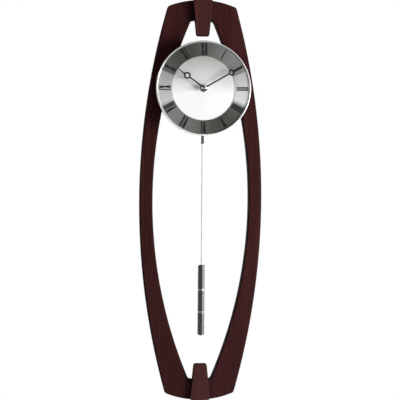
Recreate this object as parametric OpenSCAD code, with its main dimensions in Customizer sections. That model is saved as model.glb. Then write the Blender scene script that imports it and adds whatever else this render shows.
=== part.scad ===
// Pendulum wall clock: two bent wooden bows with a keystone block at each end, a round metal
// dial on a drum in front of them, and a long pendulum that swings in the open window.
// X runs across, -Y faces the room, +Z is up. The origin is the keyhole in the hanger plate,
// on the back face of the frame. "Depth" is the distance forward from that face.

/* [Frame] */
// Overall height of the frame
frame_h = 700; // [640:1:760]
// Width of the frame at its middle
frame_w = 215; // [200:1:240]
// Width that the side arcs narrow to, level with the frame's ends
frame_end_w = 113.5; // [100:0.5:124]
// Thickness of the bows
frame_t = 16; // [14:0.5:22]
// Radius of the arcs at the top and bottom ends
end_r = 155; // [140:1:200]
// Width that the window narrows to, level with its ends
window_end_w = 38; // [30:0.5:44]
// Height of the joined wood above and below the window
rail_h = 35; // [32:0.5:42]
// Rounding of the four outer corners
corner_r = 6; // [2:0.5:8]
// Rounding of the four window corners
window_corner_r = 5.5; // [2:0.5:7]

/* [Keystones] */
// Thickness of the keystone blocks
key_t = 9; // [6:0.5:14]
// Length of a keystone, from the frame's end towards the middle
key_len = 64.5; // [50:0.5:80]
// Width of a keystone at its outer end
key_outer_w = 36.5; // [30:0.5:44]
// Width of a keystone at its inner end
key_inner_w = 22.5; // [20:0.5:28]
// Rounding of a keystone's inner corners
key_corner_r = 3.5; // [1:0.5:6]

/* [Joinery] */
// Radius of the dowels in the bow joints
dowel_r = 3; // [2:0.5:4]
// Length of a dowel
dowel_len = 30; // [20:1:40]
// Distance of each dowel from the middle of the joint
dowel_offset = 10; // [8:0.5:11]
// Wood in front of the dowels
dowel_cover = 2.5; // [2:0.1:4]
// Shank radius of the wood screws
screw_r = 1.75; // [1.5:0.05:2]
// Head radius of the wood screws
screw_head_r = 3.4; // [3:0.1:4]
// How far the wood screws reach into the block or post that they hold
screw_bite = 7; // [5:0.5:8]
// Distance of each keystone screw from the joint
key_screw_x = 9; // [7.5:0.5:10]

/* [Hanger] */
// Width of the hanger plate
hanger_w = 46; // [42:1:60]
// Height of the hanger plate
hanger_h = 19; // [18:0.5:22]
// Thickness of the hanger plate
hanger_t = 1.5; // [1:0.1:2]
// Drop of the plate below the middle of the joined wood
hanger_drop = 2; // [1:0.5:3]
// Radius of the round keyhole
keyhole_r = 4; // [3.5:0.1:4.5]
// Steel below the round keyhole
keyhole_edge = 2; // [1.5:0.1:2.5]
// Width of the keyhole's slot
keyhole_slot_w = 4; // [3:0.1:4.5]
// Travel from the keyhole up its slot
keyhole_rise = 8; // [6:0.5:9]
// Depth of the pocket for the wall screw's head
head_pocket = 4.5; // [3:0.1:5]
// Length of the plate's two small screws
hanger_screw_len = 9; // [7:0.5:12]
// Shank radius of the plate's screws
hanger_screw_r = 1.4; // [1.2:0.05:1.6]
// Head radius of the plate's screws
hanger_head_r = 2.7; // [2.4:0.1:3]
// Distance of the plate's screws from its ends
hanger_screw_in = 5; // [4:0.5:6]
// Radius of the felt wall pads
pad_r = 5; // [4:0.5:7]
// Thickness of the felt wall pads
pad_t = 1.5; // [1:0.1:3]
// Distance of the pads from the frame's ends
pad_in = 50; // [40:5:150]

/* [Dial] */
// Space between the top keystone and the bezel
dial_gap = 10.2; // [4:0.1:20]
// How far the bezel stands out past the drum
dial_lap = 4.4; // [4:0.1:8]
// Radius of the bezel's rounded lip
bezel_lip_r = 1.35; // [1:0.05:1.6]
// Depth of the bezel from its lip's middle to its back edge
bezel_depth = 8; // [6:0.5:9]
// Wall of the bezel
bezel_wall = 1.2; // [0.8:0.1:1.3]
// Thickness of the silver dial plate
dial_t = 1.2; // [0.8:0.1:2]
// Thickness of the brushed hour ring
hour_ring_t = 0.8; // [0.5:0.1:1.5]
// Width of the brushed hour ring
hour_ring_w = 25.6; // [20:0.1:32]

/* [Drum] */
// Room inside the drum around the movement's corners
drum_room = 3; // [2:0.1:8]
// Width of bow that the drum covers on each side, level with the hands
drum_lap = 17.2; // [16:0.1:22]
// Wall of the drum
drum_wall = 2; // [1.5:0.1:2.5]
// Thickness of the drum's floor, behind the dial
drum_floor = 2; // [1.5:0.1:3]
// Distance of the drum's screws from the window's edge
drum_screw_in = 5.4; // [5:0.1:7]
// Radius of the screw posts
drum_post_r = 4; // [3.5:0.1:4.5]
// Room between the screw posts and the drum's wall
post_room = 1.5; // [0.5:0.1:3]

/* [Movement] */
// Distance from the bows' front to the movement's back
back_room = 3; // [1:0.5:8]
// Wall of the case
case_wall = 1.6; // [1.2:0.1:1.8]
// Front and back walls of the case
case_face = 2; // [1.8:0.1:2.2]
// Rounding of the case's corners
case_corner_r = 3; // [2:0.5:4]
// Room between the battery bay and the case's sides
bay_room = 1.25; // [0.5:0.05:3]
// Room between the motor's coil and the case's upper end
coil_room = 2.2; // [1:0.1:5]
// Room between the drive coil and the case's lower end
drive_room = 3.4; // [1:0.1:6]
// Radius of the threaded bushing
bushing_r = 4; // [3.6:0.1:4.6]
// How far the bushing stands out of its nut
bushing_out = 0.9; // [0.3:0.1:2]
// Wall of the fixing nut at its flats
nut_wall = 1; // [0.8:0.1:2]
// Thickness of the fixing nut
nut_t = 2.4; // [2:0.1:2.8]
// Width of the dial washer's ring
washer_w = 2.4; // [2:0.1:4]
// Thickness of the dial washer
washer_t = 0.5; // [0.3:0.1:0.8]
// Radius of the minute arbor
arbor_r = 1.5; // [1.3:0.05:1.6]
// Radius of the arbor's rear end
arbor_rear_r = 1.2; // [1:0.05:1.25]
// Outer radius of the hour pipe
hour_pipe_r = 2.5; // [2.3:0.05:2.7]
// Radius of the setting knob
knob_r = 7; // [5:0.5:9]
// Thickness of the setting knob
knob_t = 3.7; // [2.5:0.1:5]

/* [Wheels] */
// Module of the motion work's teeth
motion_m = 0.5; // [0.46:0.01:0.52]
// Module of the centre wheel's teeth
centre_m = 0.3; // [0.28:0.01:0.32]
// Module of the third wheel's teeth
third_m = 0.25; // [0.23:0.01:0.26]
// Module of the first wheel's teeth
first_m = 0.2; // [0.18:0.01:0.21]
// Thickness of the motion work's wheels
wheel_t = 1; // [0.8:0.1:1.2]
// Thickness of the going train's wheels
train_t = 0.8; // [0.6:0.1:0.9]
// Radius of the thin wheel arbors
pivot_r = 0.5; // [0.4:0.05:0.6]
// Thickness of the train plate
plate_t = 1; // [0.8:0.1:1.2]
// Room for the motion work in front of the train plate
motion_room = 6; // [5.5:0.1:7]
// Height of the train plate below the hands' axis
plate_low = 12; // [11:0.5:13]

/* [Battery] */
// Radius of the round cell
cell_r = 7.25; // [7:0.05:7.4]
// Length of the cell's can
cell_len = 49; // [48:0.1:49.2]
// Room between the train plate and the battery bay
bay_gap = 1.85; // [1:0.05:4]
// Wall of the battery bay
bay_wall = 1.2; // [0.8:0.1:1.6]

/* [Hands] */
// Hour part of the time shown
time_h = 10; // [0:1:11]
// Minute part of the time shown
time_min = 10; // [0:1:59]
// Length of the hour hand
hour_len = 59; // [50:0.5:62]
// Distance of the hour hand's ring from the axis
hour_loop_at = 36.4; // [30:0.1:42]
// How far the minute hand stops short of the bezel's edge
minute_short = 3.2; // [2:0.1:12]
// Distance of the minute hand's ring from the axis
minute_loop_at = 54.2; // [45:0.1:60]
// Outer radius of the ring in the hour hand
hour_loop_r = 6; // [5:0.1:7]
// Outer radius of the ring in the minute hand
minute_loop_r = 5.5; // [4.5:0.1:6.5]
// Line width of the rings in the hands
loop_line = 2.7; // [1.8:0.1:3]
// Width of a hand at its ring
hand_line = 2.4; // [1.6:0.1:2.6]
// Width of a hand at its hub
hand_root_w = 2.6; // [1.8:0.1:3]
// Thickness of the hands
hand_t = 0.5; // [0.4:0.05:0.8]
// Length of the hour hand's collar
collar_len = 3; // [2:0.1:5]
// Wall of the hour hand's collar
collar_wall = 1.2; // [0.8:0.1:2]
// Space between the two hands
hand_gap = 1; // [0.6:0.1:2]
// Radius of the domed cap on the hands
cap_r = 5.8; // [4:0.1:6.5]
// Height of the domed cap
cap_h = 3.4; // [2:0.1:4]

/* [Pendulum] */
// Widest swing to each side, in degrees
swing = 5; // [3:0.5:5.5]
// Width of the swing lever and the coupling
lever_w = 5; // [4:0.5:6]
// Room between the battery bay and the lever's boss
pivot_room = 3.65; // [2:0.05:6]
// Distance from the pivot down to the drive magnet
magnet_arm = 18; // [15:0.5:24]
// How far the lever reaches below the case
lever_out = 14.3; // [13:0.1:24]
// Depth of the coupling
coupling_t = 5; // [4.5:0.1:6]
// How far the coupling reaches below the lever
coupling_out = 13.5; // [8:0.1:30]
// Radius of the pendulum rod
rod_r = 0.9; // [0.7:0.05:1.2]
// Space between the pendulum's end and the bottom keystone
bob_gap = 49.9; // [20:0.1:100]
// Radius of the bob
bob_r = 6; // [5:0.1:8]
// Lengths of the bob's three sleeves, from the top
bob_sleeves = [43, 37.5, 39.2];
// Thickness of the rings between the sleeves
bob_ring_t = 0.8; // [0.5:0.1:2]
// Thickness of the nut under the bob
bob_nut_t = 1.2; // [0.8:0.1:4]

/* [Fits] */
// Running clearance of shafts in their bores
running = 0.05; // [0.02:0.01:0.08]
// Gap between parts that move past each other
gap = 0.3; // [0.2:0.05:0.4]
// Clearance of screws, dowels, pockets and the plates in the bezel
ease = 0.1; // [0.05:0.05:0.2]

/* [Hidden] */
$fn = 96;
ARC_FN = 720;
OVER = 1;

// Tooth counts: motion work, then the going train
CANNON_N = 10;
MINUTE_N = 30;
MINUTE_PINION_N = 8;
HOUR_N = 32;
PINION = 8;
CENTRE_N = 60;
THIRD_N = 60;
FIRST_N = 64;
WHEEL_ADD = 0.5;
PINION_ADD = 0.65;
PRESSURE = 20;
TOOTH_SHARE = 0.88;
KNOB_GROOVES = 16;

// Going train seen from the front, from the hands' axis outwards
centre_dir = 155;
third_dir = 60;
first_dir = 10;
third_at = centre_m * (PINION + CENTRE_N) / 2 * [cos(centre_dir), sin(centre_dir)];
first_at = third_at + third_m * (PINION + THIRD_N) / 2 * [cos(third_dir), sin(third_dir)];
rotor_at = first_at + first_m * (PINION + FIRST_N) / 2 * [cos(first_dir), sin(first_dir)];
motion_dir = 0;
motion_at = motion_m * (CANNON_N + MINUTE_N) / 2 * [cos(motion_dir), sin(motion_dir)];
cannon_lift = 0.5;
wheel_step = 1;
pinion_reach = 0.3;
stud_r = 0.75;
hub_r = 2.6;
spring_r = 2.8;
clip_r = 2.1;
groove_out = 0.3;
groove_r = 0.8;
clip_t = 0.5;
clutch_t = 0.5;
hub_half = 0.7;

// Motor
magnet_r = 2.5;
magnet_t = 3;
stator_t = 1;
stator_ring_r = 4.6;
coil_x = 7.5;
coil_len = 12;
coil_r = 3.2;
coil_play = 0.5;
flange_t = 0.8;
flange_h = 0.6;
leg_w = 2;
core_h = 2.4;
core_z = rotor_at[1] + stator_ring_r + gap + coil_r;

// Battery bay
cell_tip_r = 2.7;
cell_tip = 1.5;
contact_t = 0.4;
contact_w = 9;
spring_len = 0.5;
spring_base_r = 3.5;
spring_tip_r = 2;
cell_half = (cell_len + cell_tip) / 2;
cell_drop = plate_low + bay_gap + bay_wall + gap + cell_r;
bay_half_w = cell_half + contact_t + spring_len;

// Pendulum drive
lever_t = 2;
pivot_pin_r = 1;
pivot_boss_r = 3;
pivot_boss_t = 3.4;
drive_magnet_r = 4;
drive_magnet_t = 3;
drive_coil_r = 7;
drive_coil_t = 4;
drive_bore_r = 3;
magnet_room = 2;
fork_len = 10;
coupling_pin_r = 0.8;
pivot_drop = cell_drop + cell_r + gap + bay_wall + pivot_room + pivot_boss_r;
magnet_drop = pivot_drop + magnet_arm;

// Movement's case, measured from the hands' axis
case_w = 2 * (bay_half_w + bay_room + case_wall);
case_up = core_z + coil_r + coil_room + case_wall;
case_down = magnet_drop + drive_coil_r + drive_room + case_wall;
lever_end = case_down + lever_out;
fork_top = lever_end - fork_len;
coupling_end = lever_end + coupling_out;
case_boss_r = 2;
case_boss_in = 4.5;
case_screw_r = 0.8;
case_head_r = 1.6;
plate_post_r = 2;
plate_post_in = 3;
plate_side_in = 7.5;
plate_top_in = 5.5;
plate_box = [
    [plate_side_in - case_w / 2, -plate_low], [case_w / 2 - plate_side_in, case_up - plate_top_in]
];
plate_posts = [
    for (x = [0, 1], z = [0, 1]) [
        plate_box[x][0] + (1 - 2 * x) * plate_post_in, plate_box[z][1] + (1 - 2 * z) * plate_post_in
    ]
];
case_screw_at = [
    for (x = [-1, 1], z = [case_up - case_boss_in, case_boss_in - case_down])
        [x * (case_w / 2 - case_boss_in), z]
];
board_w = 13;
board_h = 22;
board_t = 1;
board_up = 6;
board_x = case_wall + gap - case_w / 2;
board_z = case_wall + board_up - case_down;
crystal_r = 1;
crystal_len = 8;
crystal_in = [3, 6];

// Drum and dial round the case, and the dial's place below the top keystone
case_reach = norm([case_w / 2 - case_corner_r, case_down - case_corner_r]) + case_corner_r;
drum_r = case_reach + drum_room + drum_wall;
drum_screw_ring = drum_r - drum_wall - post_room - drum_post_r;
bezel_r = drum_r + dial_lap;
seat_r = bezel_r - bezel_wall - ease;
hour_ring_r = seat_r - hour_ring_w;
minute_len = bezel_r - minute_short;
dial_z = frame_h / 2 - key_len - dial_gap - bezel_r;
lever_slack = 2;
lever_room = lever_w / 2 + (drum_r - pivot_drop) * sin(swing) + lever_slack;

// Frame: each long arc runs through two points, given as half widths at two heights
end_c = frame_h / 2 - end_r;
function arc_c(w, z, end_w, end_z) = (w + end_w) / 2 - (end_z * end_z - z * z) / (2 * (w - end_w));
side_c = arc_c(frame_w / 2, 0, frame_end_w / 2, frame_h / 2);
side_r = frame_w / 2 - side_c;
window_c = arc_c(drum_r - drum_lap, dial_z, window_end_w / 2, frame_h / 2 - rail_h);
window_r = norm([drum_r - drum_lap - window_c, dial_z]);
rail_mid = frame_h / 2 - rail_h / 2;
head_room = 1;
pad_z = frame_h / 2 - pad_in;
hanger_z = rail_mid - hanger_drop;
hang_z = hanger_z - hanger_h / 2 + keyhole_edge + keyhole_r;

// Depths of the train, counted back from the case's front wall
centre_gap = 2.5;
third_gap = 1.3;
first_gap = 1.2;
train_back = 2;
pinion_over = 0.4;
train_gaps = centre_gap + third_gap + first_gap;
train_depth = motion_room + plate_t + train_gaps + 2 * train_t + pinion_over + train_back;
case_t = train_depth + 2 * case_face;

// Depths, from the wall side to the room side
front = frame_t;
case_back = front + back_room;
case_front = case_back + case_t;
drum_front = case_front + drum_floor;
in_front = case_front - case_face;
in_back = case_back + case_face;
dial_front = drum_front + dial_t;
ring_front = dial_front + hour_ring_t;
nut_back = dial_front + washer_t;
bushing_front = nut_back + nut_t + bushing_out;
hub_back = bushing_front + gap;
hour_hand_d = hub_back + collar_len;
minute_hand_d = hour_hand_d + hand_t + hand_gap;
arbor_front = minute_hand_d + hand_t;
knob_front = case_back - gap;
plate_front = in_front - motion_room;
plate_back = plate_front - plate_t;
cannon_d = plate_front + cannon_lift;
hour_wheel_d = cannon_d + wheel_t + wheel_step;
centre_d = plate_back - centre_gap;
third_d = centre_d - train_t - third_gap;
first_d = third_d - train_t - first_gap;
magnet_d = third_d;
stator_d = centre_d - gap - stator_t;
hub_front_d = centre_d + train_t + hub_half;
hub_back_d = centre_d - hub_half;
shoulder_d = hub_front_d + running + clutch_t;
lever_d = in_front - drive_coil_t - magnet_room - drive_magnet_t - lever_t / 2;
cell_d = in_front - gap - cell_r;

// Hands and pendulum
hand_hub_r = hour_pipe_r + collar_wall;
minute_turn = -6 * time_min;
hour_turn = -30 * time_h - time_min / 2;
bob_len = bob_sleeves[0] + bob_sleeves[1] + bob_sleeves[2] + 2 * bob_ring_t;
bob_drop = dial_z + frame_h / 2 - key_len - bob_gap - bob_len - bob_nut_t;
bob_chamfer = 0.4;

// Screws: the depths of their heads and their lengths
key_screw_d = hanger_t + ease;
key_screw_len = frame_t - key_screw_d + screw_bite;
drum_screw_len = frame_t - ease + screw_bite;
drum_screw_at = [
    for (s = [1, -1]) meet([window_c, 0], window_r + drum_screw_in, [0, dial_z], drum_screw_ring, s)
];

// Half width at height z of an arc of radius r round a centre c on the X axis
function arc_half(c, r, z) = c + sqrt(r * r - z * z);
// Middle of a bow's width at height z
function bow_mid(z) = (arc_half(side_c, side_r, z) + arc_half(window_c, window_r, z)) / 2;
function along(p, q, d) = p + (q - p) * d / norm(q - p);
// Crossing of two circles, centre p with radius a and centre q with radius b to its right:
// the upper one, or with side -1 the lower one
function meet(p, a, q, b, side = 1) =
    let (v = q - p, d = norm(v), u = (a * a - b * b + d * d) / (2 * d), h = sqrt(a * a - u * u))
    p + v / d * u + side * [-v[1], v[0]] / d * h;
function inv_deg(c) = (tan(c) - c * PI / 180) * 180 / PI;

// Outline of a gear with involute flanks, with one tooth centred on +X
function gear(m, n, add) =
    let (
        rp = m * n / 2,
        rb = rp * cos(PRESSURE),
        tip = rp + add * m,
        root = rp - m,
        foot = max(rb, root),
        half = 90 / n * TOOTH_SHARE + inv_deg(PRESSURE),
        steps = [foot, (foot + tip) / 2, tip],
        wide = [for (r = steps) half - inv_deg(acos(rb / r))]
    )
    [for (k = [0 : n - 1], p = concat(
        [[root, -wide[0]]], [for (i = [0 : 2]) [steps[i], -wide[i]]],
        [for (i = [2 : -1 : 0]) [steps[i], wide[i]]], [[root, wide[0]]]
    )) p[0] * [cos(p[1] + 360 * k / n), sin(p[1] + 360 * k / n)]];

// Placing and shaping helpers: depth runs forward from the back face of the frame
module from_hanger() translate([0, 0, -hang_z]) children();
module at(p) translate([p[0], 0, p[1]]) children();
module slab(a, b) translate([0, -a, 0]) rotate([90, 0, 0]) linear_extrude(b - a) children();
module post(a, b, r) slab(a, b) circle(r = r);
module pipe(a, b, r, bore) slab(a, b) difference() { circle(r = r); circle(r = bore); }
module turned() rotate([90, 0, 0]) rotate_extrude() children();
module on_dial() translate([0, 0, dial_z]) children();
module both_sides() for (s = [0, 1]) mirror([s, 0, 0]) children();
module both_ends() for (s = [0, 1]) mirror([0, 0, s]) children();

// What a rounded corner loses: c is the rounding's centre, t and u its ends. The cut starts a
// little outside the sides, so that it crosses them instead of just touching them
module corner_waste(c, t, u, r) {
    reach = 1.3;
    over_round = 1.01;
    mid = (t + u) / 2;
    tip = along(c, mid, reach * r * r / norm(mid - c));
    difference() {
        polygon([c, c + reach * (t - c), tip, c + reach * (u - c)]);
        translate(c) circle(r = over_round * r);
    }
}

// Barrel outline: two long side arcs, the right one round [long_x, 0], closed by an arc at each
// end, with rounded corners
module barrel(long_x, long_r, short_r, round_r) {
    half_w = long_x + long_r;
    long_c = [long_x, 0];
    top_c = [0, end_c];
    c = meet(long_c, long_r - round_r, top_c, short_r - round_r);
    difference() {
        intersection() {
            translate(long_c) circle(r = long_r, $fn = ARC_FN);
            translate(-long_c) circle(r = long_r, $fn = ARC_FN);
        }
        for (y = [0, 1]) mirror([0, y]) {
            difference() {
                translate([-half_w, end_c]) square([2 * half_w, long_r]);
                translate(top_c) circle(r = short_r, $fn = ARC_FN);
            }
            for (x = [0, 1]) mirror([x, 0])
                corner_waste(c, along(long_c, c, long_r), along(top_c, c, short_r), round_r);
        }
    }
}

module frame_outline() difference() {
    barrel(side_c, side_r, end_r, corner_r);
    barrel(window_c, window_r, end_r - rail_h, window_corner_r);
}

// Countersunk screw with its head at the given depth; grow widens it into the hole it needs
module screw(depth, len, r, head_r, grow = 0) turned() polygon([
    [0, depth - grow], [head_r + grow, depth - grow], [r + grow, depth + head_r - r],
    [r + grow, depth + len - r], [0, depth + len + grow]
]);

module key_screw_places() both_ends() both_sides() at([key_screw_x, rail_mid]) children();
module dowel_places() both_ends() for (s = [-1, 1])
    translate([0, dowel_cover + dowel_r - frame_t, rail_mid + s * dowel_offset])
        rotate([0, 90, 0]) children();
module drum_screw_places() both_sides() for (p = drum_screw_at) at(p) children();
module hanger_screw_places() both_sides() at([hanger_w / 2 - hanger_screw_in, hanger_z]) children();
module key_screw(grow = 0) screw(key_screw_d, key_screw_len, screw_r, screw_head_r, grow);
module drum_screw(grow = 0) screw(ease, drum_screw_len, screw_r, screw_head_r, grow);
module hanger_screw(grow = 0) screw(0, hanger_screw_len, hanger_screw_r, hanger_head_r, grow);

module bow(side) color("#3b2020") difference() {
    slab(0, frame_t) intersection() {
        frame_outline();
        translate([side > 0 ? 0 : -frame_w, -frame_h]) square([frame_w, 2 * frame_h]);
    }
    dowel_places() cylinder(h = dowel_len + 2 * OVER, r = dowel_r + ease, center = true);
    key_screw_places() key_screw(ease);
    key_screw_places() post(-OVER, key_screw_d, screw_head_r + ease);
    drum_screw_places() drum_screw(ease);
    at([0, hanger_z]) slab(-OVER, hanger_t)
        square([hanger_w, hanger_h] + 2 * ease * [1, 1], center = true);
    hanger_screw_places() post(-OVER, hanger_t + hanger_screw_len, hanger_screw_r + ease);
    hanger_screw_places() hanger_screw(ease);
    at([0, hang_z + keyhole_rise / 2]) slab(0, hanger_t + head_pocket)
        square([2 * (keyhole_r + head_room), keyhole_rise + 2 * keyhole_r], center = true);
}
module left_bow() bow(-1);
module right_bow() bow(1);

// Keystone: a tapered block with round inner corners, ending on the frame's end arc
module keystone_outline() {
    top = frame_h / 2;
    bottom = top - key_len;
    lean = atan2((key_outer_w - key_inner_w) / 2, key_len);
    centre = [key_inner_w / 2 + key_corner_r * (tan(lean) - 1 / cos(lean)), bottom + key_corner_r];
    difference() {
        intersection() {
            polygon([[key_inner_w / 2, bottom], [key_outer_w / 2, top],
                [-key_outer_w / 2, top], [-key_inner_w / 2, bottom]]);
            translate([0, end_c]) circle(r = end_r, $fn = ARC_FN);
        }
        for (x = [0, 1]) mirror([x, 0]) corner_waste(centre, centre - [0, key_corner_r],
            centre + key_corner_r * [cos(lean), -sin(lean)], key_corner_r);
    }
}
module keystone() color("#472a28") difference() {
    slab(front, front + key_t) keystone_outline();
    both_sides() at([key_screw_x, rail_mid]) key_screw(ease);
}
module top_keystone() keystone();
module bottom_keystone() mirror([0, 0, 1]) keystone();

module bow_dowels() color("#c9a878") dowel_places() cylinder(h = dowel_len, r = dowel_r, center = true);
module keystone_screws() color("#b9b4a6") key_screw_places() key_screw();
module drum_screws() color("#b9b4a6") drum_screw_places() drum_screw();

module keyhole_outline() {
    circle(r = keyhole_r);
    translate([-keyhole_slot_w / 2, 0]) square([keyhole_slot_w, keyhole_rise]);
    translate([0, keyhole_rise]) circle(r = keyhole_slot_w / 2);
}
module hanger_plate() color("#c4c6c8") difference() {
    slab(0, hanger_t) difference() {
        translate([0, hanger_z]) square([hanger_w, hanger_h], center = true);
        translate([0, hang_z]) keyhole_outline();
    }
    hanger_screw_places() hanger_screw(ease);
}
module hanger_screws() color("#b9b4a6") hanger_screw_places() hanger_screw();
module wall_pads() color("#3a3a3a") both_ends() both_sides()
    at([bow_mid(pad_z), pad_z]) post(-pad_t, 0, pad_r);

// Drum: an open-backed cup that stands on the bows and carries the dial and the movement
module dial_drum() color("#2a2a2c") difference() {
    union() {
        on_dial() turned() polygon([
            [drum_r - drum_wall, front], [drum_r, front], [drum_r, drum_front], [0, drum_front],
            [0, case_front], [drum_r - drum_wall, case_front]
        ]);
        drum_screw_places() post(front, case_front + OVER / 2, drum_post_r);
    }
    on_dial() post(case_front - OVER, drum_front + OVER, bushing_r + ease);
    drum_screw_places() drum_screw(ease);
    on_dial() translate([-lever_room, -lever_d - lever_w, -drum_r - OVER])
        cube([2 * lever_room, lever_d + lever_w - front + OVER, drum_r / 2]);
}
module dial_plate() color("#e6e6e2") on_dial() pipe(drum_front, dial_front, seat_r, bushing_r + ease);
module hour_ring() color("#a9aba8") on_dial() pipe(dial_front, ring_front, seat_r, hour_ring_r);
module bezel() color("#e8e8e8") on_dial() turned() {
    lip_d = ring_front + bezel_lip_r / 2;
    difference() {
        translate([bezel_r - bezel_lip_r, lip_d]) circle(r = bezel_lip_r);
        translate([0, lip_d - 2 * bezel_lip_r]) square([bezel_r - bezel_wall, 1.5 * bezel_lip_r]);
    }
    translate([bezel_r - bezel_wall, lip_d - bezel_depth]) square([bezel_wall, bezel_depth]);
}

// Movement case: a tray that faces forward and a cover with the battery bay at the back
module case_outline(inset) {
    w = case_w - 2 * inset;
    h = case_up + case_down - 2 * inset;
    r = case_corner_r - inset;
    translate([0, (case_up - case_down) / 2]) {
        square([w - 2 * r, h], center = true);
        square([w, h - 2 * r], center = true);
        for (x = [-1, 1], y = [-1, 1]) translate([x * (w / 2 - r), y * (h / 2 - r)]) circle(r = r);
    }
}
module front_case() color("#efefec") on_dial() difference() {
    union() {
        slab(in_front, case_front) case_outline(0);
        slab(in_back, case_front) difference() { case_outline(0); case_outline(case_wall); }
        for (p = case_screw_at) at(p) post(in_back, case_front - OVER / 2, case_boss_r);
        for (p = plate_posts) at(p) post(plate_front, case_front - OVER / 2, plate_post_r);
    }
    post(case_back, case_front + OVER, bushing_r);
    for (p = case_screw_at) at(p) post(in_back - OVER, in_front, case_screw_r);
    translate([-lever_room, -lever_d - lever_w, -case_down - OVER])
        cube([2 * lever_room, 2 * lever_w, case_wall + 2 * OVER]);
}
module rear_case() color("#dfdfdb") on_dial() difference() {
    union() {
        slab(case_back, in_back) case_outline(0);
        for (s = [-1, 1]) at([0, -cell_drop + s * (cell_r + gap + bay_wall / 2)])
            slab(case_back, in_front - gap) square([2 * bay_half_w, bay_wall], center = true);
    }
    at([0, -cell_drop]) slab(case_back - OVER, in_back + OVER)
        square([2 * bay_half_w, 2 * (cell_r + gap)], center = true);
    post(case_back - OVER, in_back + OVER, arbor_rear_r + running);
    for (p = [third_at, first_at, rotor_at]) at(p) post(in_back - OVER, in_back + OVER, pivot_r + running);
    for (p = case_screw_at) at(p) case_screw(ease);
}
module case_screw(grow = 0) screw(case_back, case_t / 2, case_screw_r, case_head_r, grow);
module case_screws() color("#b9b4a6") on_dial() for (p = case_screw_at) at(p) case_screw();

module threaded_bushing() color("#c9a550") on_dial()
    pipe(in_front, bushing_front, bushing_r, hour_pipe_r + running);
module dial_washer() color("#d9d9d6") on_dial()
    pipe(dial_front, nut_back, bushing_r + washer_w, bushing_r + ease);
module fixing_nut() color("#d9d9d6") on_dial() slab(nut_back, nut_back + nut_t) difference() {
    circle(r = (bushing_r + nut_wall) / cos(30), $fn = 6);
    circle(r = bushing_r + running);
}

// Train plate and the fixed pieces of the motor
module train_plate() color("#c8c8c4") on_dial() slab(plate_back, plate_front) difference() {
    translate(plate_box[0]) square(plate_box[1] - plate_box[0]);
    circle(r = arbor_r + running);
    translate(motion_at) circle(r = stud_r);
    for (p = [third_at, first_at, rotor_at]) translate(p) circle(r = pivot_r + running);
}
module minute_wheel_stud() color("#b8babc") on_dial() at(motion_at) post(plate_back, in_front, stud_r);
module stator() color("#8f9296") on_dial() slab(stator_d, stator_d + stator_t) difference() {
    leg_b = coil_x + coil_len + coil_play;
    union() {
        translate(rotor_at) circle(r = stator_ring_r);
        translate([rotor_at[0], rotor_at[1] - leg_w]) square([leg_b + leg_w - rotor_at[0], 2 * leg_w]);
        for (x = [coil_x - coil_play - leg_w, leg_b]) translate([x, rotor_at[1]])
            square([leg_w, core_z + core_h / 2 - rotor_at[1]]);
        translate([coil_x - leg_w, core_z - core_h / 2]) square([coil_len + 2 * leg_w, core_h]);
    }
    translate(rotor_at) circle(r = magnet_r + gap);
}
module motor_coil() color("#b5642f") on_dial() difference() {
    translate([coil_x, -(stator_d + stator_t / 2), core_z]) rotate([0, 90, 0]) {
        cylinder(h = coil_len, r = coil_r - flange_h);
        for (x = [0, coil_len - flange_t]) translate([0, 0, x]) cylinder(h = flange_t, r = coil_r);
    }
    translate([coil_x - OVER, -stator_d - stator_t - ease, core_z - core_h / 2 - ease])
        cube([coil_len + 2 * OVER, stator_t + 2 * ease, core_h + 2 * ease]);
}

// Going train: rotor to first wheel to third wheel to centre wheel, 8, 7.5 and 7.5 to 1
module wheel(at_d, t, m, n, turn) slab(at_d, at_d + t) rotate(turn) polygon(gear(m, n, WHEEL_ADD));
module pinion(a, b, m, n, turn) slab(a, b) rotate(turn) polygon(gear(m, n, PINION_ADD));
module wheel_arbor(a = in_back - 1 + ease, b = plate_front - ease) post(a, b, pivot_r);
module rotor() color("#55585c") on_dial() at(rotor_at) {
    wheel_arbor();
    post(magnet_d, magnet_d + magnet_t, magnet_r);
    pinion(first_d - pinion_over, magnet_d, first_m, PINION, first_dir + 180 + 180 / PINION);
}
module first_wheel() color("#d8c27a") on_dial() at(first_at) {
    wheel_arbor();
    wheel(first_d, train_t, first_m, FIRST_N, first_dir);
    pinion(first_d, third_d + train_t + pinion_over, third_m, PINION, third_dir + 180 + 180 / PINION);
}
module third_wheel() color("#d8c27a") on_dial() at(third_at) {
    wheel_arbor();
    wheel(third_d, train_t, third_m, THIRD_N, third_dir);
    pinion(third_d, centre_d + train_t + pinion_over, centre_m, PINION, centre_dir + 180 + 180 / PINION);
}
module centre_wheel() color("#d8c27a") on_dial() difference() {
    union() {
        wheel(centre_d, train_t, centre_m, CENTRE_N, centre_dir);
        post(hub_back_d, hub_front_d, hub_r);
    }
    post(hub_back_d - OVER, hub_front_d + OVER, arbor_rear_r + running);
}

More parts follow.
